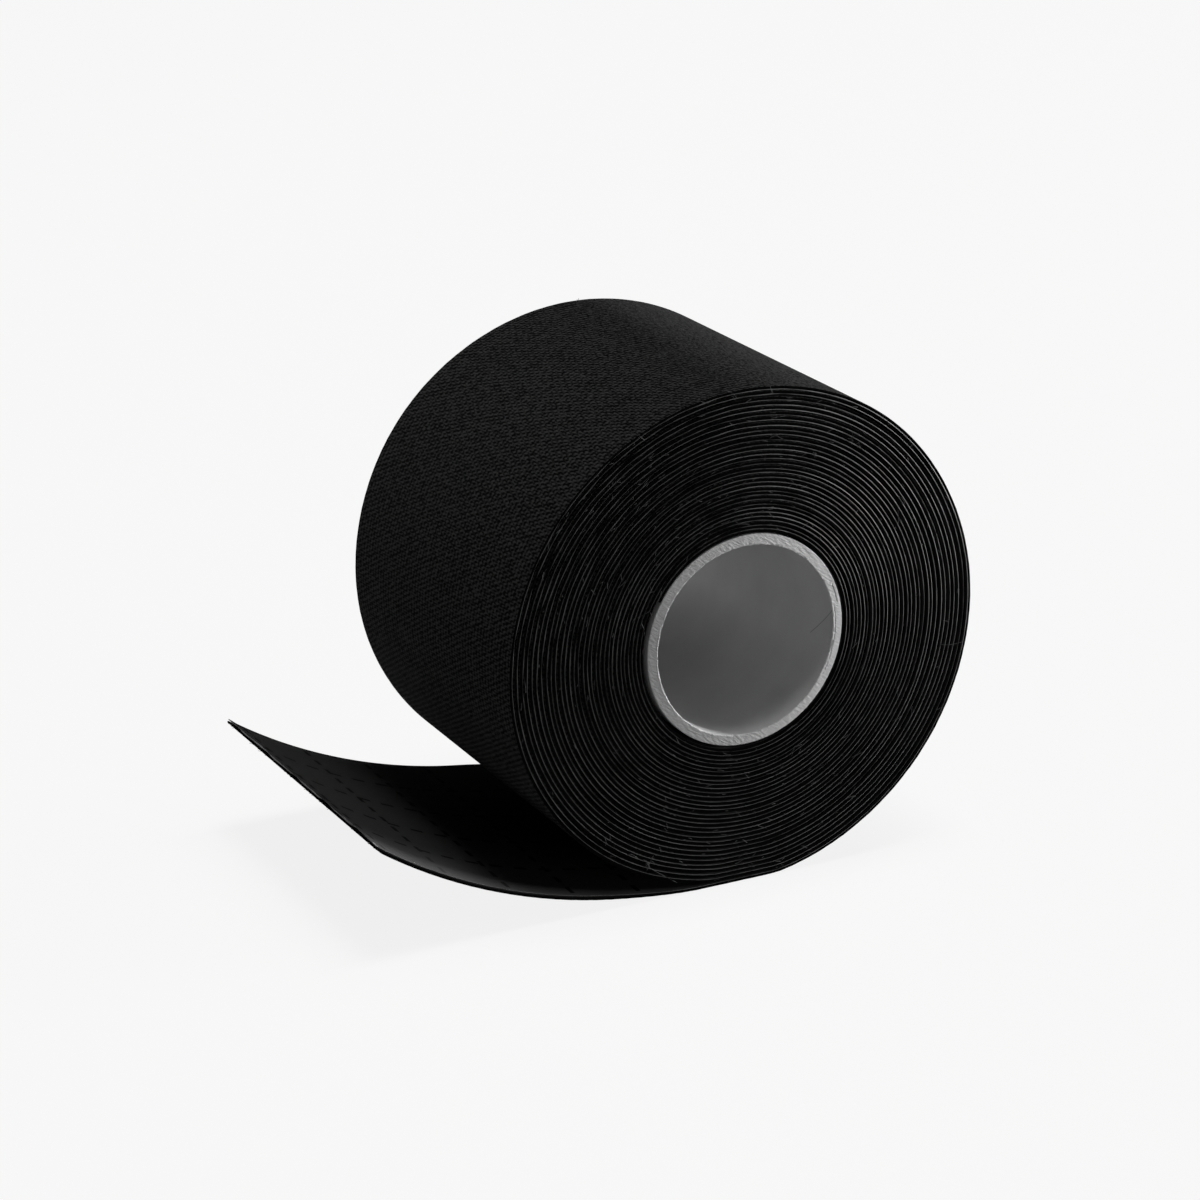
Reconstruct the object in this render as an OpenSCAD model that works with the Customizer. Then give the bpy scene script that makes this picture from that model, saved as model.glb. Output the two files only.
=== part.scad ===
// Roll of elastic cloth sports tape on a plastic core, with its release liner and a free end.
// The bore runs along Y, its centre is the origin, and the free end leaves the bottom towards -X.

/* [Tape] */
// Width of the tape and length of the core
tape_w = 50; // [25:1:100]
// Thickness of the cloth with its glue
cloth_t = 0.43; // [0.3:0.01:0.5]
// Thickness of the release liner
liner_t = 0.12; // [0.12:0.01:0.2]
// Air on each side of the liner
layer_gap = 0.15; // [0.15:0.01:0.25]
// Whole turns on the core
turns = 23; // [6:1:23]

/* [Core] */
// Diameter of the bore
bore_d = 26.8; // [20:0.1:76]
// Wall thickness of the core
core_wall = 1.5; // [1:0.1:4]
// Chamfer on the core's four rims
core_chamfer = 0.3; // [0.1:0.05:0.4]
// Room between the core and the first turn of liner
core_room = 0.45; // [0.4:0.05:0.8]

/* [Start strip] */
// Length of the strip around the core
strip_l = 10; // [4:0.5:20]
// Thickness of the strip
strip_t = 0.12; // [0.08:0.01:0.15]
// How far the strip stays back from the tape's edges
strip_inset = 3; // [1:0.5:8]
// Glue film between the core and the strip
strip_film = 0.02; // [0.01:0.01:0.1]

/* [Foot] */
// Half of the angle over which the roll is pressed flat on the table
flat_angle = 9.7; // [6:0.1:11]

/* [Free end] */
// Radius to which the free end curls up
tail_r = 80; // [60:1:200]
// Length that stays with the roll before the first bend
root_l = 4; // [3:0.5:8]
// Length from one bend to the next
bend_step = 8.5; // [6:0.5:12]
// Cloth left on the liner past the last bend
stub_l = 3.3; // [2:0.1:6]
// Cloth that peels off the liner at the end
tip_l = 11; // [6:0.5:16]
// Slit between two lengths that bend against each other
slit = 0.2; // [0.15:0.01:0.3]

/* [Hidden] */
$fn = 96;
bends = 5;
core_r = bore_d / 2 + core_wall;
pitch = cloth_t + liner_t + 2 * layer_gap;
// The cloth's inner face at the start of the first turn
first_r = core_r + core_room + liner_t + layer_gap;
// The cloth's inner and outer faces on the last turn, which stands on the table
last_r = first_r + turns * pitch;
foot_r = last_r + cloth_t;
foot_z = -foot_r * cos(flat_angle);
// The free end starts where the flat ends, and curls about a point above it
tail_x = -pitch / 4 - foot_r * sin(flat_angle);
tail_z = foot_z + tail_r;
// The liner lies this far inside the cloth's inner face
liner_in = layer_gap + liner_t;
// The bend lines run through the middle of the two layers
bend_r = tail_r - (cloth_t + liner_in) / 2;
tail_l = root_l + (bends - 1) * bend_step + stub_l + tip_l;
peel_s = tail_l - tip_l;

CLOTH = "#1b1b1c";
LINER = "#8f8f8c";
PLASTIC = "#e6e5e1";
GLUE_STRIP = "#d9cfae";

function numbered(name) = [for (i = [1:bends]) str(name, i)];

// Where along the free end each bend lies, and the point of a bend line
function bend_s(i) = root_l + (i - 1) * bend_step;
function tail_angle(s) = 270 - s / tail_r * 180 / PI;
function tail_point(s, r) = [tail_x + r * cos(tail_angle(s)), tail_z + r * sin(tail_angle(s))];

// A point of a wound ribbon: travel is the angle from its inner end, and out is the height
// above the cloth's inner face
function half_turn_r(travel) = first_r + (floor(travel / 360) + (travel % 360 > 180 ? 0.5 : 0)) * pitch;
function half_turn_x(travel) = (travel % 360 > 180 ? 1 : -1) * pitch / 4;
function on_flat(travel) = abs(travel % 360 - 90) < flat_angle;
function flat_depth(r, out) = (r + cloth_t) * cos(flat_angle) - cloth_t + out;
function ribbon_point(travel, out) =
    let (r = half_turn_r(travel), x = half_turn_x(travel), depth = flat_depth(r, out))
    on_flat(travel)
        ? [x - depth * tan(travel % 360 - 90), -depth]
        : [x + (r + out) * cos(travel), -(r + out) * sin(travel)];

// The least gap from a ribbon's outer face to its next turn, measured on points
function least_gap(low, high) =
    min([for (a = [2.5:7.5:(turns - 1) * 360 + 90], d = [-2:1:2])
        norm(ribbon_point(a + 360 + d, low) - ribbon_point(a, high))]);
echo(cloth_least_gap = least_gap(0, cloth_t));
echo(liner_least_gap = least_gap(-liner_in, -layer_gap));
echo(foot_z = foot_z, tail_end = tail_point(tail_l, tail_r));
echo(bend_points = [for (i = [1:bends]) tail_point(bend_s(i), bend_r)]);
echo(peel_point = tail_point(peel_s, tail_r));

// A layer bent round the Y axis, from one angle to another in the XZ plane
module bent(r, t, from, to, w = tape_w) {
    rotate([90, 0, 0])
        rotate_extrude(start = from, angle = to - from)
            translate([r, -w / 2])
                square([t, w]);
}

// Half a disc below its centre, pressed flat at the bottom
module flat_half_disc(r, depth) {
    intersection() {
        circle(r);
        translate([-r, -depth])
            square([2 * r, depth]);
    }
}

// Lower half turn of a layer over a cloth radius
module lower_half_turn(r, out, t) {
    translate([-pitch / 4, 0])
        difference() {
            flat_half_disc(r + out + t, flat_depth(r, out + t));
            flat_half_disc(r + out, flat_depth(r, out));
        }
}

// Upper half turn, half a pitch wider
module upper_half_turn(r, t) {
    translate([pitch / 4, 0])
        intersection() {
            difference() {
                circle(r + t);
                circle(r);
            }
            translate([-r - t, 0])
                square([2 * (r + t), r + t]);
        }
}

// The last quarter turn, down to the table and along it to where the free end curls up
module last_stretch(out, t) {
    intersection() {
        lower_half_turn(last_r, out, t);
        translate([-pitch / 4, -foot_r])
            square(foot_r);
    }
    high = -flat_depth(last_r, out);
    low = -flat_depth(last_r, out + t);
    polygon([[tail_x, low], [-pitch / 4, low], [-pitch / 4, high], [tail_x, high]]);
}

// A ribbon of half turns about two centres, which spirals out, up to the first bend of the free end
module winding(out, t) {
    rotate([90, 0, 0])
        translate([0, 0, -tape_w / 2])
            linear_extrude(tape_w) {
                for (k = [0:turns - 1]) {
                    lower_half_turn(first_r + k * pitch, out, t);
                    upper_half_turn(first_r + (k + 0.5) * pitch + out, t);
                }
                last_stretch(out, t);
            }
    tail_layer(out, t, 0, bend_s(1) - slit / 2);
}

// A length of one layer of the free end
module tail_layer(out, t, from, to) {
    translate([tail_x, 0, tail_z])
        bent(tail_r - cloth_t + out, t, tail_angle(to), tail_angle(from));
}

// Moulded tube that the tape is wound on
module core() {
    c = core_chamfer;
    h = tape_w / 2;
    color(PLASTIC)
        rotate([90, 0, 0])
            rotate_extrude()
                polygon([[core_r - c, -h], [core_r, c - h],
                         [core_r, h - c], [core_r - c, h],
                         [bore_d / 2 + c, h], [bore_d / 2, h - c],
                         [bore_d / 2, c - h], [bore_d / 2 + c, -h]]);
}

// Double-sided strip that holds the inner end of the tape on the core
module start_strip() {
    sweep = strip_l / core_r * 180 / PI;
    color(GLUE_STRIP)
        bent(core_r + strip_film, strip_t, 360 - sweep, 360, tape_w - 2 * strip_inset);
}

// Stretchy cotton cloth, glued on its inner side
module cloth_winding() {
    color(CLOTH)
        winding(0, cloth_t);
}

// Release liner that keeps the glue off the turn below
module liner_winding() {
    color(LINER)
        winding(-liner_in, liner_t);
}

// Lengths of the free end between the bends
module cloth_tail(i) {
    end = i < bends ? bend_s(i + 1) : peel_s;
    color(CLOTH)
        tail_layer(0, cloth_t, bend_s(i) + slit / 2, end - slit / 2);
}

module liner_tail(i) {
    end = i < bends ? bend_s(i + 1) - slit / 2 : tail_l;
    color(LINER)
        tail_layer(-liner_in, liner_t, bend_s(i) + slit / 2, end);
}

// End of the cloth, which is lifted off the liner to start peeling
module cloth_tip() {
    color(CLOTH)
        tail_layer(0, cloth_t, peel_s + slit / 2, tail_l);
}

core();
start_strip();
cloth_winding();
liner_winding();
for (i = [1:bends]) {
    cloth_tail(i);
    liner_tail(i);
}
cloth_tip();
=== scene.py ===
import math
import random

import bmesh
import bpy
import numpy as np
from mathutils import Matrix, Vector


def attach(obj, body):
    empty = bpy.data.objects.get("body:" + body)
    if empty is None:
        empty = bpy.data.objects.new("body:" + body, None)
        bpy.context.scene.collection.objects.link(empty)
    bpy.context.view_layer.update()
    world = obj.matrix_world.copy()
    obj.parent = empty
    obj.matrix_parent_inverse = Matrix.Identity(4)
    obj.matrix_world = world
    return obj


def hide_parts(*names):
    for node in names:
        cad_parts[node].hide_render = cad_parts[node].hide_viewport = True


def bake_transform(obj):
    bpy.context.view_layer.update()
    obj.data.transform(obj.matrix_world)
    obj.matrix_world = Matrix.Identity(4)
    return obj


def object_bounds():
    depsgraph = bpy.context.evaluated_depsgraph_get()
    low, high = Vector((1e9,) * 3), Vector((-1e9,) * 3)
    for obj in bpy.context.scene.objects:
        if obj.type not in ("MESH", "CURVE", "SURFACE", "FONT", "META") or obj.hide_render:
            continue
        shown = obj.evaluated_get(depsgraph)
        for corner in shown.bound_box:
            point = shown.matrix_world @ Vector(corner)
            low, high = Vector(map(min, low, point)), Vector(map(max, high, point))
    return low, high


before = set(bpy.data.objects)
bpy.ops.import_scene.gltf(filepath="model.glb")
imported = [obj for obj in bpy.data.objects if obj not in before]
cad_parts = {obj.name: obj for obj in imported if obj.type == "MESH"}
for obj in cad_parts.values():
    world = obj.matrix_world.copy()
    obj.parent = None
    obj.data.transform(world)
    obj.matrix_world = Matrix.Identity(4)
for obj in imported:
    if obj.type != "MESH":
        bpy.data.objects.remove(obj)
cad_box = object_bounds()

# The core is a length of extruded white polypropylene tube, sawn to the tape's width.
# The saw leaves faint marks on the end faces, which fall away a little towards the tape, and a
# deburring blade has rounded the rims.
MM = 0.001  # sizes are in millimetres, and those of the stage in metres
tape_half = cad_box[1][1] / MM
core_out = 14.9
core_in = 13.4
core_mid = (core_out + core_in) / 2
core_half = tape_half + 0.12
core_fall = 0.185
inner_rim = 0.16
outer_rim = 0.08
end_rings = 12
end_step = (core_out - core_in - inner_rim - outer_rim) / end_rings


def srgb(hex_colour):
    """The linear colour of an sRGB hex value."""
    parts = [int(hex_colour[i:i + 2], 16) / 255 for i in (1, 3, 5)]
    return [c / 12.92 if c <= 0.04045 else ((c + 0.055) / 1.055) ** 2.4 for c in parts] + [1]


def put(tree, kind, settings, links=()):
    """Adds a node, sets its options and inputs, and links each (input, output socket) pair."""
    made = tree.nodes.new("ShaderNode" + kind)
    for key, value in settings.items():
        if isinstance(key, str) and key in made.bl_rna.properties:
            setattr(made, key, value)
        else:
            made.inputs[key].default_value = value
    for key, source in links:
        tree.links.new(source, made.inputs[key])
    return made


def finish_named(name, settings):
    """A new material with a Principled shader: returns the material, its tree and the shader."""
    made = bpy.data.materials.new(name)
    made.use_nodes = True
    tree = made.node_tree
    tree.nodes.clear()
    shader = put(tree, "BsdfPrincipled", settings)
    put(tree, "OutputMaterial", {}, [("Surface", shader.outputs["BSDF"])])
    return made, tree, shader


def start_mesh(name, adder, **sizes):
    """Deselects all, adds a primitive, names it and opens it in edit mode with all selected."""
    bpy.ops.object.select_all(action="DESELECT")
    adder(**sizes)
    made = bpy.context.object
    made.name = name
    bpy.ops.object.mode_set(mode="EDIT")
    bpy.ops.mesh.select_all(action="SELECT")
    return made


def pick(made, test):
    """Selects the vertices of a mesh in edit mode whose place passes a test."""
    mesh = bmesh.from_edit_mesh(made.data)
    for vertex in mesh.verts:
        vertex.select_set(test(vertex.co))
    mesh.select_flush_mode()
    bmesh.update_edit_mesh(made.data)


core_tube = start_mesh("core_tube", bpy.ops.mesh.primitive_plane_add, size=1)
bpy.ops.transform.resize(value=((core_out - core_in) * MM, 2 * core_half * MM, 1))
bpy.ops.transform.translate(value=(core_mid * MM, 0, 0))
pick(core_tube, lambda place: place.x > core_mid * MM)
bpy.ops.transform.resize(value=(1, 1 - core_fall / core_half, 1), center_override=(0, 0, 0))
bpy.ops.mesh.bevel(offset=outer_rim * MM, segments=3, affect="VERTICES")
pick(core_tube, lambda place: place.x < core_mid * MM)
bpy.ops.mesh.bevel(offset=inner_rim * MM, segments=4, affect="VERTICES")
bpy.ops.mesh.delete(type="ONLY_FACE")
pick(core_tube, lambda place: core_in + inner_rim * 0.95 < place.x / MM < core_out - outer_rim * 0.95)
bpy.ops.mesh.subdivide(number_cuts=end_rings - 1)
# Two rings of vertices on each wall, moved out to 1 mm from the ends, keep the burrs off the walls
pick(core_tube, lambda place: place.x < (core_in + 0.01) * MM or place.x > (core_out - 0.01) * MM)
bpy.ops.mesh.subdivide(number_cuts=2)
pick(core_tube, lambda place: abs(place.y) < core_half / 2 * MM)
bpy.ops.transform.resize(value=(1, 2.9, 1), center_override=(0, 0, 0))
bpy.ops.mesh.select_all(action="SELECT")
bpy.ops.mesh.spin(steps=400, angle=2 * math.pi, center=(0, 0, 0), axis=(0, 1, 0))
bpy.ops.mesh.select_all(action="SELECT")
bpy.ops.mesh.remove_doubles(threshold=0.002 * MM)
bpy.ops.mesh.normals_make_consistent(inside=False)


def on_end(place, low, high, first=-180, last=180):
    """Whether a place is on an end face between two radii in mm and two angles in degrees."""
    inside = low < math.hypot(place.x, place.z) / MM < high
    angle = math.degrees(math.atan2(place.z, place.x))
    return inside and abs(place.y) > (core_half - 0.6) * MM and first < angle < last


# The blade caught the end face on the right and left a long shallow groove beside the inner rim,
# two short deep ones and a nick, and small burrs all round. A mark has its ring of vertices, counted
# from the inner rim, its first and last angle in degrees and its depth.
blade_marks = (
    (2, -30, 12, 0.06),
    (8, 13, 23.5, 0.22),
    (1, -16, -9.5, 0.22),
    (0, 48, 50.5, 0.2),
)
for ring, first, last, deep in blade_marks:
    mark_r = core_in + inner_rim + ring * end_step
    pick(core_tube, lambda place: on_end(place, mark_r - 0.03, mark_r + 0.03, first, last))
    bpy.ops.transform.resize(value=(1, 1 - deep / core_half, 1), center_override=(0, 0, 0))
    bpy.ops.transform.vertex_random(offset=0.04 * MM, uniform=0.3, seed=3 + ring)
pick(core_tube, lambda place: on_end(place, core_in + 0.01, core_in + inner_rim + 0.02))
bpy.ops.transform.vertex_random(offset=0.06 * MM, uniform=0.4, seed=9)
pick(core_tube, lambda place: on_end(place, core_out - outer_rim - 0.02, core_out - 0.01))
bpy.ops.transform.vertex_random(offset=0.02 * MM, uniform=0.5, seed=5)
bpy.ops.object.mode_set(mode="OBJECT")
bpy.ops.object.shade_smooth_by_angle(angle=math.radians(50))

# Polypropylene, natural white, extruded and sawn: a waxy satin skin with faint lines along the
# bore, fine saw marks across the end faces and one scratch. Its tone is clouded every 8 mm.
core_white, tree, shader = finish_named("extruded_polypropylene", {"Roughness": 0.55, "IOR": 1.49})
place = put(tree, "TexCoord", {})
mottle = put(tree, "TexNoise", {"Scale": 120, "Detail": 4}, [("Vector", place.outputs["Object"])])
tone = put(tree, "ValToRGB", {}, [("Fac", mottle.outputs["Fac"])])
tone.color_ramp.elements[0].position = 0.3
tone.color_ramp.elements[0].color = srgb("#dcdcdc")
tone.color_ramp.elements[1].position = 0.7
tone.color_ramp.elements[1].color = srgb("#e8e8e8")
# A scratch 7 mm long and 0.12 mm wide runs slantwise over the right wall to the front rim
scratch_middle = Vector((core_in, -22.4, -0.4)) * MM
scratch_across = (0, 0.676, 0.737)
scratch_off = -15.4
scratch_reach = 3.6
slant = put(tree, "VectorMath", {"operation": "DOT_PRODUCT", 1: scratch_across},
            [(0, place.outputs["Object"])])
on_slant = put(tree, "Math", {"operation": "COMPARE", 1: scratch_off * MM, 2: 0.06 * MM},
               [(0, slant.outputs["Value"])])
from_middle = put(tree, "VectorMath", {"operation": "DISTANCE", 1: scratch_middle},
                  [(0, place.outputs["Object"])])
near = put(tree, "Math", {"operation": "LESS_THAN", 1: scratch_reach * MM},
           [(0, from_middle.outputs["Value"])])
scratch = put(tree, "Math", {"operation": "MULTIPLY"}, [(0, on_slant.outputs[0]), (1, near.outputs[0])])
scratched = put(tree, "Mix", {"data_type": "RGBA", 7: srgb("#b0b0b0")},
                [(0, scratch.outputs[0]), (6, tone.outputs["Color"])])
tree.links.new(scratched.outputs[2], shader.inputs["Base Color"])
# The die left lines 0.6 mm wide and 25 mm long
line_scale = (1 / (0.625 * MM), 1 / (25 * MM), 1 / (0.625 * MM))
squeezed = put(tree, "Mapping", {"Scale": line_scale}, [("Vector", place.outputs["Object"])])
lines = put(tree, "TexNoise", {"Scale": 1, "Detail": 3}, [("Vector", squeezed.outputs["Vector"])])
raised = put(tree, "Bump", {"Strength": 0.1, "Distance": 0.04 * MM}, [("Height", lines.outputs["Fac"])])
# The saw's teeth left straight scores on the end faces alone, 0.3 mm wide and 0.9 mm long
apart = put(tree, "SeparateXYZ", {}, [("Vector", place.outputs["Object"])])
outward = put(tree, "Math", {"operation": "ABSOLUTE"}, [(0, apart.outputs["Y"])])
on_face = put(tree, "Math", {"operation": "GREATER_THAN", 1: (core_half - 0.4) * MM},
              [(0, outward.outputs[0])])
sawn_along = put(tree, "Mapping", {
    "vector_type": "TEXTURE", "Rotation": (0, math.radians(30), 0), "Scale": (0.9 * MM, 1, 0.3 * MM),
}, [("Vector", place.outputs["Object"])])
scores = put(tree, "TexNoise", {"Scale": 1, "Detail": 4}, [("Vector", sawn_along.outputs["Vector"])])
sawn = put(tree, "Math", {"operation": "MULTIPLY"},
           [(0, on_face.outputs[0]), (1, scores.outputs["Fac"])])
scored = put(tree, "Bump", {"Strength": 0.6, "Distance": 0.3 * MM},
             [("Height", sawn.outputs[0]), ("Normal", raised.outputs["Normal"])])
tree.links.new(scored.outputs["Normal"], shader.inputs["Normal"])
core_tube.data.materials.append(core_white)
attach(core_tube, "roll")
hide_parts("core")

# The start strip is a short piece of double-sided tissue tape round the core.
# It holds the inner end of the tape and lies hidden under the first turn. Its tissue is cream paper
# fibre in clumps 1 mm across, glazed by the glue.
strip_tissue, tree, shader = finish_named("double_sided_tissue_tape", {"Roughness": 0.55, "IOR": 1.47})
place = put(tree, "TexCoord", {})
fibres = put(tree, "TexNoise", {"Scale": 900, "Detail": 5}, [("Vector", place.outputs["Object"])])
tone = put(tree, "ValToRGB", {}, [("Fac", fibres.outputs["Fac"])])
tone.color_ramp.elements[0].color = srgb("#b9ab84")
tone.color_ramp.elements[1].color = srgb("#e0d6b6")
tree.links.new(tone.outputs["Color"], shader.inputs["Base Color"])
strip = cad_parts["start_strip"]
strip.data.materials.clear()
strip.data.materials.append(strip_tissue)

# The wound liner is silicone-coated paper that keeps the glue off the turn below.
# It lies inside the cloth on every turn, and its pale cut edges draw the rings on the roll's ends.
turns = 31.667
path_in = 14.95
path_out = 35.0
# The first turn is wound tight, and each one a little looser than the last
first_pitch = 0.55
looser = (path_out - path_in - first_pitch * turns) / turns ** 2
foot_z = cad_box[0][2] / MM
# The faces of the liner and the cloth lie below and above the line where the two meet
liner_t = 0.09
cloth_low = 0.02
cloth_high = 0.44
# The free end curls up about this point, and s on it is measured along its lower face
tail_face_r = 80.0
tail_centre = (-6.2107, foot_z + tail_face_r)
tail_r = tail_face_r - cloth_high
tail_l = 51.7
cut_at = tail_l * tail_r / tail_face_r
cut_skew = 0.4


def arc_point(s, r):
    """The (x, z) of a place s mm along the free end, at a radius r from the centre of its curl."""
    angle = math.radians(270) - s / tail_face_r
    return tail_centre[0] + r * math.cos(angle), tail_centre[1] + r * math.sin(angle)


def path_points():
    """The line where liner and cloth meet, from the core to the cut end, as (x, z) in mm.

    With it come the points in a turn and the index of the point where the free end starts."""
    per_turn = 180
    level_steps = 12
    arc_steps = 110
    arc_step = 0.5
    count = round(turns * per_turn)
    points = []
    for i in range(count + 1):
        turn_done = i / per_turn
        left = turns - turn_done
        angle = math.radians(-90 + 360 * left)
        r = path_in + turn_done * (first_pitch + looser * turn_done)
        inside = path_out - r
        # Hands have pressed the roll a little out of round
        sway = 0.1 + 0.14 * math.cos(2 * angle) + 0.08 * math.cos(angle + 0.35)
        sway += 0.03 * math.sin(5 * angle + 2.1) + 0.02 * math.sin(8 * angle + 0.4)
        r += sway * ((r - path_in) / (path_out - path_in)) ** 2
        # Some turns were wound tighter than others
        free = min(turn_done / 2, left / 1.5, 1)
        r += free * (0.042 * math.sin(2.33 * turn_done) + 0.034 * math.sin(1.44 * turn_done + 1.3))
        # The roll stands on its bottom, which is pressed flat and a little closer there
        off_bottom = (angle + math.pi / 2 + math.pi) % (2 * math.pi) - math.pi
        if abs(off_bottom) < 1.2:
            flat = (-foot_z - cloth_high - inside + 0.03 * left) / math.cos(off_bottom)
            r -= math.log1p(math.exp(25 * (r - flat))) / 25
        points.append((r * math.cos(angle), r * math.sin(angle)))
    end_x = points[-1][0]
    for i in range(1, level_steps + 1):
        points.append((end_x + (tail_centre[0] - end_x) * i / level_steps, tail_centre[1] - tail_r))
    for i in range(1, arc_steps + 1):
        points.append(arc_point(i * arc_step, tail_r))
    return np.array(points), per_turn, count + level_steps


path_xz, turn_index, tail_index = path_points()
path_d = np.concatenate([[0], np.cumsum(np.linalg.norm(np.diff(path_xz, axis=0), axis=1))])
path_turn = np.unwrap(np.arctan2(path_xz[:, 1], path_xz[:, 0]))
tail_d = path_d[tail_index]


def on_path(s):
    """The distance along the path of a place s mm along the free end."""
    return tail_d + s * tail_r / tail_face_r


path_curve = bpy.data.curves.new("tape_path", "CURVE")
path_curve.dimensions = "2D"
line = path_curve.splines.new("POLY")
line.points.add(len(path_xz) - 1)
line.points.foreach_set("co", np.column_stack([path_xz * MM, 0 * path_d, 0 * path_d + 1]).ravel())
tape_path = bpy.data.objects.new("tape_path", path_curve)
bpy.context.scene.collection.objects.link(tape_path)


def eased(t):
    """0 before 0, 1 after 1, and smooth between."""
    t = np.clip(t, 0, 1)
    return t * t * (3 - 2 * t)


def tail_lift(s, across):
    """How far the free end lies above its arc: up early, low at the end, with a slight twist."""
    return eased(s / 14) * (0.84 - 0.03 * s + (0.47 - 0.014 * s) * across / tape_half)


def tape_strip(name, start, end, low, high, half, lean, corner, step, drift, finishes, cuts=0):
    """A closed length of ribbon between two distances on the path, modelled flat and then wound.

    low and high are its faces above the path, lean is how much wider its inner face is at each
    edge, corner is the rounding of its edges and step the length of its faces. drift is how far it
    strays sideways at a distance, finishes are the materials of its outer face, inner face and cut
    edges, and cuts are the lines along it that let it flex sideways."""
    made = start_mesh(name, bpy.ops.mesh.primitive_plane_add, size=1)
    bpy.ops.transform.rotate(value=math.pi / 2, orient_axis="Y", center_override=(0, 0, 0))
    bpy.ops.transform.resize(value=(1, (high - low) * MM, 2 * half * MM))
    bpy.ops.transform.translate(value=(start * MM, (high + low) / 2 * MM, 0))
    pick(made, lambda place: place.y > (high + low) / 2 * MM)
    bpy.ops.transform.resize(value=(1, 1, 1 - lean / half), center_override=(0, 0, 0))
    bpy.ops.mesh.select_all(action="SELECT")
    bpy.ops.mesh.bevel(offset=corner * MM, segments=2, affect="VERTICES")
    bpy.ops.mesh.delete(type="ONLY_FACE")
    if cuts:
        pick(made, lambda place: abs(place.z) < (half - lean - 0.5 * corner) * MM)
        bpy.ops.mesh.subdivide(number_cuts=cuts)
    bpy.ops.object.mode_set(mode="OBJECT")
    length = made.modifiers.new("length", "SCREW")
    length.axis = "X"
    length.angle = 0
    length.screw_offset = (end - start) * MM
    length.steps = math.ceil((end - start) / step)
    length.render_steps = length.steps
    length.use_normal_calculate = False
    bpy.ops.object.modifier_apply(modifier="length")
    bpy.ops.object.mode_set(mode="EDIT")
    bpy.ops.mesh.select_all(action="SELECT")
    bpy.ops.mesh.fill_holes(sides=0)
    bpy.ops.mesh.select_all(action="SELECT")
    bpy.ops.mesh.normals_make_consistent(inside=False)
    bpy.ops.object.mode_set(mode="OBJECT")
    mesh = made.data
    for finish in finishes:
        mesh.materials.append(finish)
    for face in mesh.polygons:
        face.material_index = 0 if face.normal.y > 0.9 else 1 if face.normal.y < -0.95 else 2
    flat = np.zeros(len(mesh.vertices) * 3, np.float32)
    mesh.vertices.foreach_get("co", flat)
    flat = flat.reshape(-1, 3)
    # Millimetres along the tape from the start of the free end, across it, and through it
    on_tape = np.column_stack([flat[:, 0] / MM - tail_d, -flat[:, 2] / MM, flat[:, 1] / MM])
    tape_mm = mesh.attributes.new("tape_mm", "FLOAT_VECTOR", "POINT")
    tape_mm.data.foreach_set("vector", on_tape.ravel())
    side = np.sign(flat[:, 2])
    flat[:, 2] += drift(flat[:, 0] / MM, side) * MM
    flat[:, 1] -= tail_lift(on_tape[:, 0], on_tape[:, 1]) * MM
    # At the cut the liner stands off the cloth in small waves, and the scissors pinched the cloth
    to_cut = cut_at - on_tape[:, 0]
    wave = 0.5 + 0.3 * np.sin(on_tape[:, 1] / 1.7 + 0.6) + 0.2 * np.sin(on_tape[:, 1] / 0.8)
    flat[:, 1] -= 0.2 * wave * eased(1 - to_cut / 1.8) * (on_tape[:, 2] < 0.005) * MM
    flat[:, 1] -= 0.15 * eased(1 - to_cut / 1.2) * (on_tape[:, 2] > 0.2) * MM
    # The scissors cut the end a little askew
    flat[:, 0] += cut_skew * on_tape[:, 1] / tape_half * eased((on_tape[:, 0] - 43) / 8) * MM
    mesh.vertices.foreach_set("co", flat.ravel())
    wind = made.modifiers.new("wind", "CURVE")
    wind.object = tape_path
    wind.deform_axis = "POS_X"
    bpy.ops.object.modifier_apply(modifier="wind")
    made.rotation_euler = (math.pi / 2, 0, 0)
    bpy.ops.object.transform_apply(location=False, rotation=True, scale=False)
    bpy.ops.object.shade_smooth_by_angle(angle=math.radians(40))
    return made


def liner_drift(d, side):
    """How far the liner strays sideways, in mm: the winding machine steers it loosely.

    The roll's ends are dished at the upper left, most on the outer turns, so the liner lies deeper
    there and is lost in places. On the free end its near edge has crept back from the cloth's edge."""
    stray = 0.03 * np.sin(d / 47 + 0.2) + 0.02 * np.sin(d / 17.3 + 1.1)
    upper_left = np.cos(np.interp(d, path_d, path_turn) - math.radians(135))
    patchy = 1 + 0.7 * np.sin(d / 1.1) * np.sin(d / 4.7 + 1)
    sunk = (0.08 + 0.12 * d / tail_d) * patchy * eased((upper_left - 0.2) / 0.6) * (d < tail_d)
    crept = 0.4 * eased((d - tail_d - 2) / 14) * (side > 0)
    return stray - side * sunk - crept


# Kraft paper with a black print on its back: a dull sheen, dashed cutting lines 10 mm apart,
# and the paper's own fibre, in clumps 0.5 mm across, just visible in the print.
liner_back, tree, shader = finish_named("printed_release_paper", {
    "Roughness": 0.75, "IOR": 1.45, "Specular IOR Level": 0.1,
})
at = put(tree, "Attribute", {"attribute_name": "tape_mm"})
split = put(tree, "SeparateXYZ", {}, [("Vector", at.outputs["Vector"])])


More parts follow.
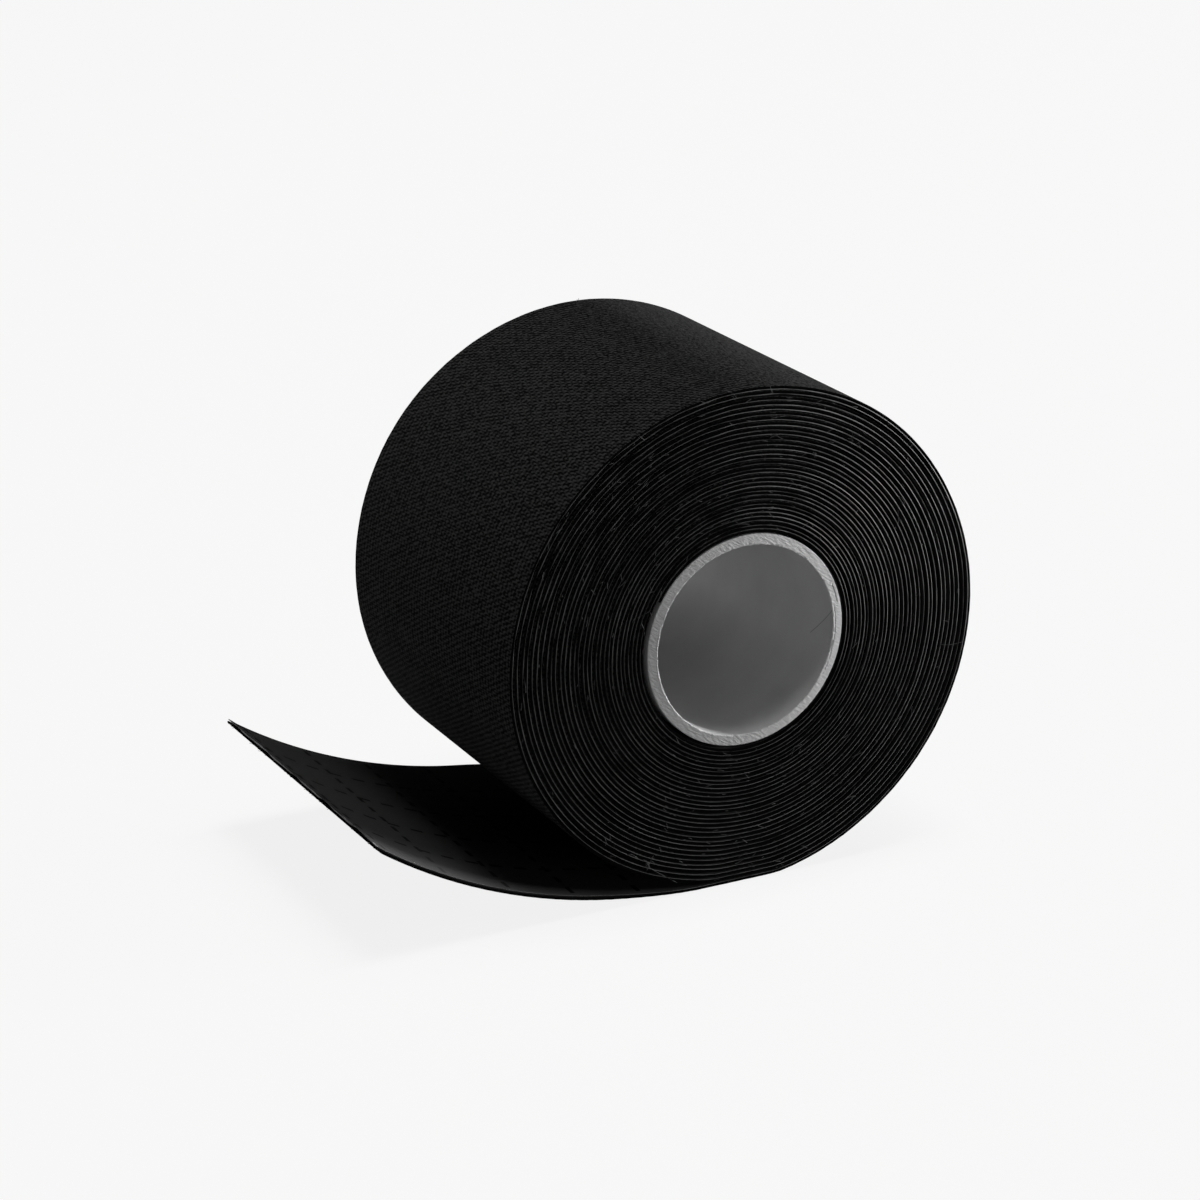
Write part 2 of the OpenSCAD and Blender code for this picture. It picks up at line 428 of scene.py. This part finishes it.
def dashed_line(across, along, line_from, dash_from):
    """1 on dashes 2 mm long every 3.8 mm, on lines 0.7 mm wide every 10 mm."""
    shifted = put(tree, "Math", {"operation": "ADD", 1: line_from}, [(0, across)])
    near = put(tree, "Math", {"operation": "PINGPONG", 1: 5}, [(0, shifted.outputs[0])])
    on_line = put(tree, "Math", {"operation": "LESS_THAN", 1: 0.35}, [(0, near.outputs[0])])
    along_line = put(tree, "Math", {"operation": "ADD", 1: dash_from}, [(0, along)])
    dash = put(tree, "Math", {"operation": "WRAP", 1: 3.8, 2: 0}, [(0, along_line.outputs[0])])
    on_dash = put(tree, "Math", {"operation": "LESS_THAN", 1: 2.0}, [(0, dash.outputs[0])])
    both = put(tree, "Math", {"operation": "MULTIPLY"},
               [(0, on_line.outputs[0]), (1, on_dash.outputs[0])])
    return both.outputs[0]


long_lines = dashed_line(split.outputs["Y"], split.outputs["X"], 5.5, 0.6)
cross_lines = dashed_line(split.outputs["X"], split.outputs["Y"], 0.7, 1.2)
print_mask = put(tree, "Math", {"operation": "MAXIMUM"}, [(0, long_lines), (1, cross_lines)])
paper = put(tree, "TexNoise", {"Scale": 2.2, "Detail": 6}, [("Vector", at.outputs["Vector"])])
tone = put(tree, "ValToRGB", {}, [("Fac", paper.outputs["Fac"])])
tone.color_ramp.elements[0].color = srgb("#313131")
tone.color_ramp.elements[1].color = srgb("#3f3f3f")
inked = put(tree, "Mix", {"data_type": "RGBA", 7: srgb("#040404")},
            [(0, print_mask.outputs[0]), (6, tone.outputs["Color"])])
# Along the cut the scissors have scuffed the print, and pale paper shows in patches 3 mm long and
# up to 1 mm wide
torn = put(tree, "TexNoise", {"Scale": 0.3, "Detail": 5}, [("Vector", at.outputs["Vector"])])
torn_to = put(tree, "Math", {"operation": "MULTIPLY_ADD", 1: -4.4, 2: cut_at + 2.1},
              [(0, torn.outputs["Fac"])])
at_cut = put(tree, "Math", {"operation": "GREATER_THAN"},
             [(0, split.outputs["X"]), (1, torn_to.outputs[0])])
scuffed = put(tree, "Mix", {"data_type": "RGBA", 7: srgb("#9a9a9a")},
              [(0, at_cut.outputs[0]), (6, inked.outputs[2])])
# A painted highlight: the print is made paler in a band along its near edge towards the tip,
# where light reaches it past the roll
near_edge = put(tree, "MapRange", {"interpolation_type": "SMOOTHSTEP", 1: -12, 2: -23},
                [(0, split.outputs["Y"])])
near_end = put(tree, "MapRange", {"interpolation_type": "SMOOTHSTEP", 1: 24, 2: 40},
               [(0, split.outputs["X"])])
painted_edge_highlight = put(tree, "Math", {"operation": "MULTIPLY"},
             [(0, near_edge.outputs[0]), (1, near_end.outputs[0])])
# Adds the painted highlight of the near edge to the print's colour
paler = put(tree, "Mix", {"data_type": "RGBA", "blend_type": "ADD", 7: srgb("#454545")},
            [(0, painted_edge_highlight.outputs[0]), (6, scuffed.outputs[2])])
tree.links.new(paler.outputs[2], shader.inputs["Base Color"])
raised = put(tree, "Bump", {"Strength": 0.15, "Distance": 0.05 * MM}, [("Height", paper.outputs["Fac"])])
tree.links.new(raised.outputs["Normal"], shader.inputs["Normal"])

# The other side of the paper: a clear silicone coat over grey paper, smooth and glossy, with the
# fibre under it in clumps 0.6 mm across.
liner_coat, tree, shader = finish_named("silicone_coated_paper", {"Roughness": 0.34, "IOR": 1.42})
at = put(tree, "Attribute", {"attribute_name": "tape_mm"})
paper = put(tree, "TexNoise", {"Scale": 1.6, "Detail": 6}, [("Vector", at.outputs["Vector"])])
tone = put(tree, "ValToRGB", {}, [("Fac", paper.outputs["Fac"])])
tone.color_ramp.elements[0].color = srgb("#3c3c3c")
tone.color_ramp.elements[1].color = srgb("#525252")
tree.links.new(tone.outputs["Color"], shader.inputs["Base Color"])

# The slit edge of the paper: pale grey fibres, cut clean but uneven in tone, over 2 mm where the
# knife pressed it and over 17 mm from one length of paper to the next.
liner_edge, tree, shader = finish_named("slit_paper_edge", {
    "Roughness": 0.55, "IOR": 1.45, "Specular IOR Level": 0.35,
})
at = put(tree, "Attribute", {"attribute_name": "tape_mm"})
paper = put(tree, "TexNoise", {"Scale": 0.45, "Detail": 7, "Roughness": 0.7},
            [("Vector", at.outputs["Vector"])])
turn_tone = put(tree, "TexNoise", {"Scale": 0.06, "Detail": 2}, [("Vector", at.outputs["Vector"])])
uneven = put(tree, "Mix", {"data_type": "FLOAT", 0: 0.5},
             [(2, paper.outputs["Fac"]), (3, turn_tone.outputs["Fac"])])
# The edges of the inner turns are made darker and those of the outer turns paler
split = put(tree, "SeparateXYZ", {}, [("Vector", at.outputs["Vector"])])
outwards = put(tree, "MapRange", {1: -tail_d, 2: 0, 3: -0.05, 4: 0.06}, [(0, split.outputs["X"])])
paler = put(tree, "Math", {"operation": "ADD"}, [(0, uneven.outputs[0]), (1, outwards.outputs[0])])
tone = put(tree, "ValToRGB", {}, [("Fac", paler.outputs[0])])
tone.color_ramp.elements[0].position = 0.36
tone.color_ramp.elements[0].color = srgb("#323232")
tone.color_ramp.elements[1].position = 0.64
tone.color_ramp.elements[1].color = srgb("#acacac")
tree.links.new(tone.outputs["Color"], shader.inputs["Base Color"])

liner_looks = (liner_coat, liner_back, liner_edge)
liner_half = tape_half - 0.02
liner_lean = 0.07
liner_corner = 0.025
liner_size = (-liner_t, 0, liner_half, liner_lean, liner_corner)
wound_step = 0.95
wound_s = 2
wound_to = on_path(wound_s)
# The first turn of cloth is glued straight on the core, so the liner starts with the second
liner_roll = tape_strip("wound_liner", path_d[turn_index], wound_to, *liner_size, wound_step,
                        liner_drift, liner_looks)
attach(liner_roll, "roll")
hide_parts("liner_winding")

# The wound cloth is stretchy cotton with elastane, woven black, with glue on its inner side.
# It was slit to width from a wide web, so its edges are raw and slightly fuzzy.
cloth_half = tape_half - 0.07
cloth_corner = 0.13


def cloth_drift(d, side):
    """How far the cloth strays sideways, in mm, with the small unevenness of a raw edge."""
    slow = 0.035 * np.sin(d / 61 + 1.3) + 0.025 * np.sin(d / 23.7 + 0.4) + 0.015 * np.sin(d / 9.1 + 2)
    return slow + side * (0.02 * np.sin(2.9 * d) + 0.015 * np.sin(5.3 * d + 1))


# Black woven cotton: dull and deep, with short slanted threads in rows that run along the tape
# 0.86 mm apart, a stitch every 0.78 mm in a row, and a faint bloom of fibre where it is seen edge on.
cloth_face, tree, shader = finish_named("black_woven_cotton", {
    "Roughness": 0.9, "IOR": 1.5, "Specular IOR Level": 0.06,
    "Sheen Weight": 0.03, "Sheen Roughness": 0.45, "Sheen Tint": srgb("#9a9a9a"),
})
at = put(tree, "Attribute", {"attribute_name": "tape_mm"})
# The threads stray 0.1 mm to either side of their lines
stray = put(tree, "TexNoise", {"Scale": 1.1, "Detail": 3}, [("Vector", at.outputs["Vector"])])
strayed = put(tree, "VectorMath", {"operation": "MULTIPLY_ADD", 1: (0.4, 0.4, 0)},
              [(0, stray.outputs["Color"]), (2, at.outputs["Vector"])])


def thread_wave(along, across):
    """A ripple of the weave with so many waves per millimetre along and across the tape."""
    per_mm = (2 * math.pi * along, 2 * math.pi * across, 0)
    turned = put(tree, "VectorMath", {"operation": "DOT_PRODUCT", 1: per_mm},
                 [(0, strayed.outputs["Vector"])])
    return put(tree, "Math", {"operation": "SINE"}, [(0, turned.outputs["Value"])]).outputs[0]


rows_per_mm = 1.16
stitches_per_mm = 1.29
rows = put(tree, "Math", {"operation": "MULTIPLY_ADD", 1: 0.12, 2: -0.01},
           [(0, thread_wave(0, rows_per_mm))])
slant = put(tree, "Math", {"operation": "MULTIPLY_ADD", 1: 0.16},
            [(0, thread_wave(stitches_per_mm, 0.68)), (2, rows.outputs[0])])
weave = put(tree, "Math", {"operation": "MULTIPLY_ADD", 1: 0.11},
            [(0, thread_wave(2 * stitches_per_mm, 0.21)), (2, slant.outputs[0])])
# Yarn of uneven thickness, in short floats 0.6 mm long across the tape and half as wide
floats = put(tree, "Mapping", {"Scale": (3.5, 1.75, 1.35)}, [("Vector", at.outputs["Vector"])])
fuzz = put(tree, "TexNoise", {"Scale": 1, "Detail": 2, "Roughness": 0.6},
           [("Vector", floats.outputs["Vector"])])
worn = put(tree, "Math", {"operation": "MULTIPLY_ADD", 1: 1.3},
           [(0, fuzz.outputs["Fac"]), (2, weave.outputs[0])])
tone = put(tree, "ValToRGB", {}, [("Fac", worn.outputs[0])])
tone.color_ramp.elements[0].position = 0.45
tone.color_ramp.elements[0].color = srgb("#030303")
tone.color_ramp.elements[1].position = 0.94
tone.color_ramp.elements[1].color = srgb("#4c4c4c")
tree.links.new(tone.outputs["Color"], shader.inputs["Base Color"])
raised = put(tree, "Bump", {"Strength": 0.3, "Distance": 0.2 * MM}, [("Height", worn.outputs[0])])
tree.links.new(raised.outputs["Normal"], shader.inputs["Normal"])

# The glue on the back of the cloth: clear acrylic laid in waves 3 mm apart, shiny on the threads.
cloth_glue, tree, shader = finish_named("acrylic_glue_on_cotton", {"Roughness": 0.3, "IOR": 1.48})
at = put(tree, "Attribute", {"attribute_name": "tape_mm"})
waves = put(tree, "TexWave", {
    "bands_direction": "Y", "Scale": 0.105, "Distortion": 6, "Detail": 0, "Detail Scale": 0.25,
}, [("Vector", at.outputs["Vector"])])
tone = put(tree, "ValToRGB", {}, [("Fac", waves.outputs["Fac"])])
tone.color_ramp.elements[0].color = srgb("#101010")
tone.color_ramp.elements[1].color = srgb("#2c2c2c")
tree.links.new(tone.outputs["Color"], shader.inputs["Base Color"])
raised = put(tree, "Bump", {"Strength": 0.5, "Distance": 0.1 * MM}, [("Height", waves.outputs["Fac"])])
tree.links.new(raised.outputs["Normal"], shader.inputs["Normal"])

# The slit edge of the cloth: cut thread ends 0.4 mm apart with a felt of loose fibre. It is painted
# near black, darker than the cotton, as painted shade for the deep gaps between the turns.
cloth_edge, tree, shader = finish_named("slit_cotton_edge_painted_shade", {
    "Roughness": 0.95, "IOR": 1.5, "Specular IOR Level": 0.03,
})
at = put(tree, "Attribute", {"attribute_name": "tape_mm"})
ends = put(tree, "TexNoise", {"Scale": 2.6, "Detail": 6, "Roughness": 0.65},
           [("Vector", at.outputs["Vector"])])
# Near-black tones: painted shade for the gaps between the turns
tone = put(tree, "ValToRGB", {}, [("Fac", ends.outputs["Fac"])])
tone.color_ramp.elements[0].position = 0.35
tone.color_ramp.elements[0].color = srgb("#010101")
tone.color_ramp.elements[1].position = 0.75
tone.color_ramp.elements[1].color = srgb("#0a0a0a")
tree.links.new(tone.outputs["Color"], shader.inputs["Base Color"])
raised = put(tree, "Bump", {"Strength": 0.8, "Distance": 0.1 * MM}, [("Height", ends.outputs["Fac"])])
tree.links.new(raised.outputs["Normal"], shader.inputs["Normal"])

cloth_looks = (cloth_face, cloth_glue, cloth_edge)
cloth_size = (cloth_low, cloth_high, cloth_half, 0, cloth_corner)
cloth_roll = tape_strip("wound_cloth", 0, wound_to, *cloth_size, wound_step, cloth_drift, cloth_looks)
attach(cloth_roll, "roll")
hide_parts("cloth_winding")

# The free end is the last 52 mm of tape, cut off with scissors and curled up off the table.
# Each length of it holds one bend line, and the lengths meet halfway between the bends, where
# the tape stays straight. Past the last one the cloth alone goes on as the tip, which peels off.
bends = 5
bend_gap = 8.5
bend_at = [4 + bend_gap * i for i in range(bends)]
meets_at = [wound_s] + [bend - bend_gap / 2 for bend in bend_at[1:]]
peel_at = 41.3
tip_from = peel_at - 1.5
free_step = 0.4
free_cuts = 60


for i, bend in enumerate(bend_at, 1):
    start = meets_at[i - 1]
    # The last bend stays clear of the peel line, so it has less room
    for kind, size, looks, drift in (
        ("liner", liner_size, liner_looks, liner_drift),
        ("cloth", cloth_size, cloth_looks, cloth_drift),
    ):
        end = meets_at[i] if i < bends else tail_l if kind == "liner" else tip_from
        piece = tape_strip(f"free_{kind}_{i}", on_path(start), on_path(end), *size, free_step,
                           drift, looks, free_cuts)
        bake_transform(piece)
        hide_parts(f"{kind}_tail_{i}")
tip = tape_strip("free_cloth_tip", on_path(tip_from), on_path(tail_l), *cloth_size, free_step,
                 cloth_drift, cloth_looks, free_cuts)
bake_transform(tip)
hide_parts("cloth_tip")

# Lint clings to the raw edges on both ends of the roll: loose cotton fibres that the slitting
# knife cut off, lying over the turns. A fibre is 0.02 mm thick and is drawn 0.05 mm thick to show.
fibre_t = 0.05
lint_count = 520
lint_in = 15.6
lint_out = 34.8
lint_off = 0.01
thread_off = 0.03
lint_pick = random.Random(7)


def fibre_set(name, strands):
    """One mesh of many loose fibres, each given by its points in mm."""
    bpy.ops.object.select_all(action="DESELECT")
    lines = bpy.data.curves.new(name, "CURVE")
    lines.dimensions = "3D"
    lines.bevel_depth = fibre_t / 2 * MM
    lines.bevel_resolution = 0
    lines.use_fill_caps = True
    for points in strands:
        line = lines.splines.new("POLY")
        line.points.add(len(points) - 1)
        for knot, point in zip(line.points, points):
            knot.co = (point[0] * MM, point[1] * MM, point[2] * MM, 1)
    made = bpy.data.objects.new(name, lines)
    bpy.context.scene.collection.objects.link(made)
    made.select_set(True)
    bpy.context.view_layer.objects.active = made
    bpy.ops.object.convert(target="MESH")
    return bpy.context.object


def lying_fibre(x, z, heading, length, off_edge, side):
    """A fibre that lies on an end face from a point, curling a little and rising in its middle.

    off_edge is how far its ends lie outside the edge of the tape."""
    curl = lint_pick.uniform(-0.8, 0.8)
    rise = lint_pick.uniform(0.01, 0.07)
    points = []
    for i in range(5):
        points.append((x, side * (tape_half + off_edge + 4 * rise * i / 4 * (1 - i / 4)), z))
        x += length / 4 * math.cos(heading)
        z += length / 4 * math.sin(heading)
        heading += curl / 4
    return points


def lint_on(side, threads, lumps):
    """The lint of one end: scattered fibres, and threads and lumps at places in mm."""
    strands = []
    while len(strands) < lint_count:
        angle = lint_pick.uniform(0, 2 * math.pi)
        # Most of it hangs on the upper and the lower turns, and at the upper left
        upper_left = max(0, math.cos(angle - math.radians(140))) ** 4
        if lint_pick.random() > 0.2 + 0.6 * math.sin(angle) ** 4 + 0.5 * upper_left:
            continue
        r = lint_pick.uniform(lint_in, lint_out)
        heading = angle + math.pi / 2 + lint_pick.gauss(0, 0.45)
        length = min(0.25 + lint_pick.expovariate(2.6), 2.2)
        x = r * math.cos(angle)
        z = r * math.sin(angle)
        strands.append(lying_fibre(x, z, heading, length, lint_off, side))
    for x, z, x_end, z_end in threads:
        length = math.hypot(x_end - x, z_end - z)
        heading = math.atan2(z_end - z, x_end - x)
        strands.append(lying_fibre(x, z, heading, length, thread_off, side))
    for x, z, size in lumps:
        for i in range(14):
            heading = lint_pick.uniform(0, 2 * math.pi)
            near_x = x + lint_pick.gauss(0, 0.25) * size
            near_z = z + lint_pick.gauss(0, 0.25) * size
            length = size * lint_pick.uniform(0.4, 1)
            strands.append(lying_fibre(near_x, near_z, heading, length, thread_off, side))
    return strands


# Cotton lint: soft grey threads, paler over 1 to 2 mm where they have lost their dye.
lint_grey, tree, shader = finish_named("cotton_lint", {
    "Roughness": 0.9, "IOR": 1.5, "Specular IOR Level": 0.1,
    "Sheen Weight": 0.1, "Sheen Roughness": 0.4, "Sheen Tint": srgb("#b0b0b0"),
})
place = put(tree, "TexCoord", {})
dye = put(tree, "TexNoise", {"Scale": 700, "Detail": 2}, [("Vector", place.outputs["Object"])])
tone = put(tree, "ValToRGB", {}, [("Fac", dye.outputs["Fac"])])
tone.color_ramp.elements[0].position = 0.35
tone.color_ramp.elements[0].color = srgb("#2a2a2a")
tone.color_ramp.elements[1].position = 0.7
tone.color_ramp.elements[1].color = srgb("#8c8c8c")
tree.links.new(tone.outputs["Color"], shader.inputs["Base Color"])

# A thread goes from one (x, z) to another, and a lump has its (x, z) and its size
front_threads = (
    (31.06, -5.93, 34.45, -6.51),
    (31.13, -2.41, 32.04, -2.57),
    (-15.03, -29.73, -10.31, -33.25),
    (5.59, 32.52, 6.5, 32.4),
    (3.0, 31.24, 3.9, 31.3),
)
front_lumps = ((-14.68, -29.4, 0.9), (15.7, 25.94, 0.6), (9.88, 24.64, 0.5))
back_threads = ((22.4, 9.3, 24.9, 7.1), (-8.3, 30.2, -6.1, 31.0), (-20.5, -21.8, -18.2, -24.4))
back_lumps = ((4.2, 27.3, 0.6), (-19.1, -24.6, 0.8))
for where, side, threads, lumps in (
    ("front", -1, front_threads, front_lumps),
    ("back", 1, back_threads, back_lumps),
):
    lint = fibre_set(f"lint_{where}", lint_on(side, threads, lumps))
    lint.data.materials.append(lint_grey)
    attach(lint, "roll")

# The frayed cut is the ends of the cotton threads that the scissors left standing out of the cloth.
# They are up to 0.45 mm long, held by the weave and the glue, and they go with the tip as it peels.
fray_count = 60
fray_half = 24.8
cut_threads = []
for i in range(fray_count):
    across = lint_pick.uniform(-fray_half, fray_half)
    high = lint_pick.uniform(0.12, 0.36)
    s = tail_l - 0.1 + cut_skew * across / tape_half
    length = min(0.1 + lint_pick.expovariate(9), 0.45)
    lean = lint_pick.gauss(0, 0.5)
    droop = lint_pick.gauss(0.1, 0.25)
    points = []
    for j in range(4):
        t = length * j / 3
        x, z = arc_point(s + t, tail_r + high - tail_lift(s, across) + droop * t)
        points.append((x, across + lean * t, z))
    cut_threads.append(points)
fray = fibre_set("frayed_cut", cut_threads)
fray.data.materials.append(lint_grey)
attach(fray, "tip")

# The path has wound every length of tape and isn't part of the roll
bpy.data.objects.remove(tape_path)
bpy.data.curves.remove(path_curve)

# The stage is a plain white table under a large soft light overhead and one high at the right, with
# a low strip light at the right and weak cards at the front right, front left and back left.
# The camera stands at the photograph's place, a little above the roll and to its left.
table_gap = 0.02
bpy.ops.object.select_all(action="DESELECT")
bpy.ops.mesh.primitive_circle_add(vertices=96, radius=6, fill_type="NGON",
                                  location=(0, 0, (foot_z - table_gap) * MM))
floor = bpy.context.object
floor.name = "floor"
# Matt white board: it shows almost white, with a pale shadow, and throws back only a little light.
white_table, tree, shader = finish_named("matt_white_board", {
    "Base Color": srgb("#949494"), "Roughness": 1.0,
})
rays = put(tree, "LightPath", {})
board = put(tree, "BsdfDiffuse", {"Color": srgb("#767676")})
glow = put(tree, "Emission", {"Color": srgb("#ffffff"), "Strength": 0.86})
lit = put(tree, "AddShader", {}, [(0, board.outputs[0]), (1, glow.outputs[0])])
shown = put(tree, "MixShader", {},
            [(0, rays.outputs["Is Camera Ray"]), (1, shader.outputs[0]), (2, lit.outputs[0])])
tree.links.new(shown.outputs[0], tree.nodes["Material Output"].inputs["Surface"])
floor.data.materials.append(white_table)

light_away = 2.5


def soft_light(name, direction, wide, high, irradiance):
    """A soft box of a width and height in metres that gives so much light at the origin, facing it."""
    made = bpy.data.lights.new(name, "AREA")
    made.shape = "RECTANGLE"
    made.size = wide
    made.size_y = high
    made.energy = irradiance * math.pi * light_away ** 2
    lamp = bpy.data.objects.new(name, made)
    away = Vector(direction).normalized()
    lamp.location = away * light_away
    lamp.rotation_euler = away.to_track_quat("Z", "Y").to_euler()
    lamp.visible_camera = False
    bpy.context.scene.collection.objects.link(lamp)


soft_light("overhead", (0.09, -0.035, 0.995), 0.8, 0.8, 0.82)
soft_light("right_high", (0.42, 0.02, 0.907), 0.5, 1.0, 0.42)
soft_light("right_key", (0.987, -0.157, 0.014), 0.66, 0.13, 3.5)
soft_light("front_right", (0.5, -0.86, 0.04), 1.9, 0.25, 0.25)
soft_light("front_left", (-0.5, -0.866, 0.03), 1.4, 0.2, 0.11)
soft_light("back_left", (-0.74, 0.672, 0.03), 1.7, 0.2, 0.3)
world = bpy.data.worlds.new("studio")
world.use_nodes = True
bpy.context.scene.world = world
tree = world.node_tree
tree.nodes.clear()
rays = put(tree, "LightPath", {})
seen = put(tree, "Mix", {"data_type": "FLOAT", 2: 0.01, 3: 1.0}, [(0, rays.outputs["Is Camera Ray"])])
sky = put(tree, "Background", {"Color": (1, 1, 1, 1)}, [("Strength", seen.outputs[0])])
put(tree, "OutputWorld", {}, [("Surface", sky.outputs["Background"])])

# The camera's angles, its distance and offset from the roll's middle, and its focal length in pixels
# of a frame 1200 pixels wide
azimuth = math.radians(-27.29)
elevation = math.radians(19.88)
camera_away = 478.3
camera_left = 8.04
camera_down = 2.14
focal_px = 3430
frame_px = 1200
level = math.cos(elevation)
back = Vector((math.sin(azimuth) * level, -math.cos(azimuth) * level, math.sin(elevation)))
right = Vector((math.cos(azimuth), math.sin(azimuth), 0))
up = back.cross(right)
camera_data = bpy.data.cameras.new("camera")
camera_data.sensor_width = 36
camera_data.lens = focal_px / frame_px * camera_data.sensor_width
camera_data.clip_start = 0.01
camera = bpy.data.objects.new("camera", camera_data)
camera_at = (back * camera_away - right * camera_left - up * camera_down) * MM
camera.matrix_world = Matrix.Translation(camera_at) @ Matrix((right, up, back)).transposed().to_4x4()
bpy.context.scene.collection.objects.link(camera)
bpy.context.scene.camera = camera
bpy.context.scene.view_settings.view_transform = "Standard"
